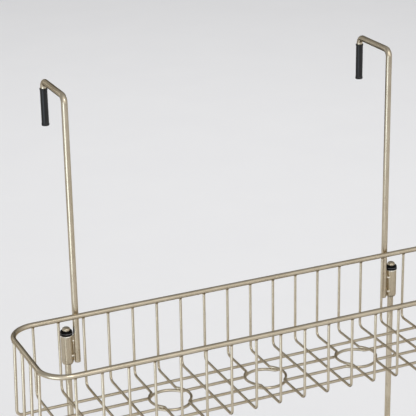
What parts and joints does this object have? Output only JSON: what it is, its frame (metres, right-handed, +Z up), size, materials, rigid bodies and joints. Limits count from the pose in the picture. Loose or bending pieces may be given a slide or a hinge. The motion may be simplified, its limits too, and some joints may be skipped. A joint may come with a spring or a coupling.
{
  "type": "over-the-door shower caddy",
  "caption": "Wire shower caddy that hooks over a door: an upper basket with round bottle openings and a lower basket on uprights that slide in sleeves.",
  "frame": {"origin": "midway between the hooks, where the front face of the door meets its top edge: the underside of the hooks' top runs and the back of their front legs", "axes": "+Z up, +Y towards the door and back over its top, +X to the right of someone who faces the door"},
  "size_m": [0.4828, 0.1864, 0.544],
  "materials": {
    "satin_nickel": "satin nickel plating on steel wire and rod",
    "black_rubber": "matt black rubber",
    "clear_vinyl": "clear soft vinyl"
  },
  "bodies": {
    "upper_tier": {"hook_rod_left": "satin_nickel", "hook_rod_right": "satin_nickel", "hook_pad_left": "black_rubber", "hook_pad_right": "black_rubber", "sleeve_left": "satin_nickel", "sleeve_right": "satin_nickel", "bushing_left": "black_rubber", "bushing_right": "black_rubber", "upper_rim": "satin_nickel", "upper_cross_wire_01": "satin_nickel", "upper_cross_wire_02": "satin_nickel", "upper_cross_wire_03": "satin_nickel", "upper_cross_wire_04": "satin_nickel", "upper_cross_wire_05": "satin_nickel", "upper_cross_wire_06": "satin_nickel", "upper_cross_wire_07": "satin_nickel", "upper_cross_wire_08": "satin_nickel", "upper_cross_wire_09": "satin_nickel", "upper_cross_wire_10": "satin_nickel", "upper_cross_wire_11": "satin_nickel", "upper_cross_wire_12": "satin_nickel", "upper_cross_wire_13": "satin_nickel", "upper_cross_wire_14": "satin_nickel", "upper_cross_wire_15": "satin_nickel", "upper_cross_wire_16": "satin_nickel", "upper_cross_wire_17": "satin_nickel", "upper_cross_wire_18": "satin_nickel", "upper_long_wire_1": "satin_nickel", "upper_long_wire_2": "satin_nickel", "upper_long_wire_3": "satin_nickel", "upper_long_wire_4": "satin_nickel"},
    "lower_tier": {"upright_left": "satin_nickel", "upright_right": "satin_nickel", "end_cap_left": "satin_nickel", "end_cap_right": "satin_nickel", "lower_rim": "satin_nickel", "lower_cross_wire_01": "satin_nickel", "lower_cross_wire_02": "satin_nickel", "lower_cross_wire_03": "satin_nickel", "lower_cross_wire_04": "satin_nickel", "lower_cross_wire_05": "satin_nickel", "lower_cross_wire_06": "satin_nickel", "lower_cross_wire_07": "satin_nickel", "lower_cross_wire_08": "satin_nickel", "lower_cross_wire_09": "satin_nickel", "lower_cross_wire_10": "satin_nickel", "lower_cross_wire_11": "satin_nickel", "lower_cross_wire_12": "satin_nickel", "lower_cross_wire_13": "satin_nickel", "lower_cross_wire_14": "satin_nickel", "lower_long_wire_1": "satin_nickel", "lower_long_wire_2": "satin_nickel", "lower_long_wire_3": "satin_nickel", "lower_long_wire_4": "satin_nickel", "suction_cup_left": "clear_vinyl", "suction_cup_right": "clear_vinyl", "accessory_hook_1": "satin_nickel", "accessory_hook_2": "satin_nickel", "accessory_hook_3": "satin_nickel", "accessory_hook_4": "satin_nickel"}
  },
  "joints": [
    {"name": "lower_tier_slide", "type": "slide", "parent": "upper_tier", "child": "lower_tier", "axis": [0, 0, 1], "range_m": [0, 0.155]}
  ]
}
